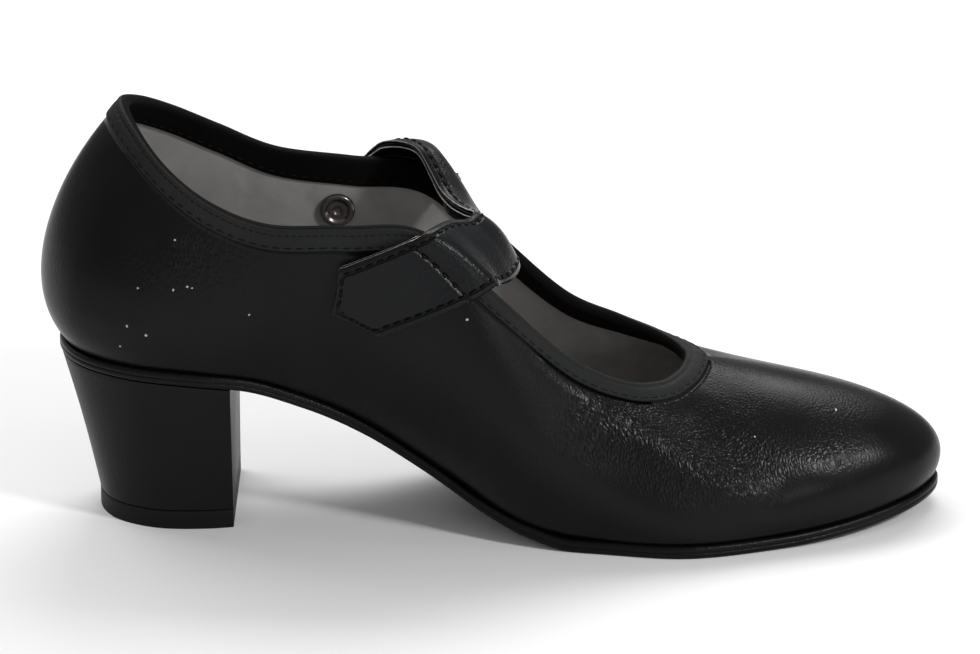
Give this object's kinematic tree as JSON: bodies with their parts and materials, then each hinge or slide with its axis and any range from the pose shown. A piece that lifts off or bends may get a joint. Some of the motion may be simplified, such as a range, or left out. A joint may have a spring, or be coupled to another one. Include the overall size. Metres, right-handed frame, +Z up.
{
  "type": "flamenco shoe",
  "caption": "Black leather dance shoe with a low throat, bound topline, bar strap over the instep, thin sole and flared block heel.",
  "frame": {"origin": "middle of the face that the heel rests on, on the floor", "axes": "+X to the toe, +Y to the outer side of the foot, +Z up"},
  "size_m": [0.2426, 0.0788, 0.1158],
  "materials": {
    "upper_leather": "grained black leather with a soft gloss, grey lining inside",
    "binding_leather": "thin black leather, soft gloss",
    "strap_leather": "black leather in two layers, soft gloss, raw edges",
    "sole_leather": "black edge, dressed smooth",
    "heel_cover": "smooth black cover over a block",
    "top_piece_rubber": "matt black",
    "lining_leather": "matt grey lining leather",
    "snap_metal": "dark gunmetal"
  },
  "bodies": {
    "root": {"outsole": "sole_leather", "insole": "lining_leather", "heel": "heel_cover", "top_piece": "top_piece_rubber", "upper": "upper_leather", "topline_binding": "binding_leather", "strap": "strap_leather", "snap_back": "snap_metal"}
  },
  "joints": []
}
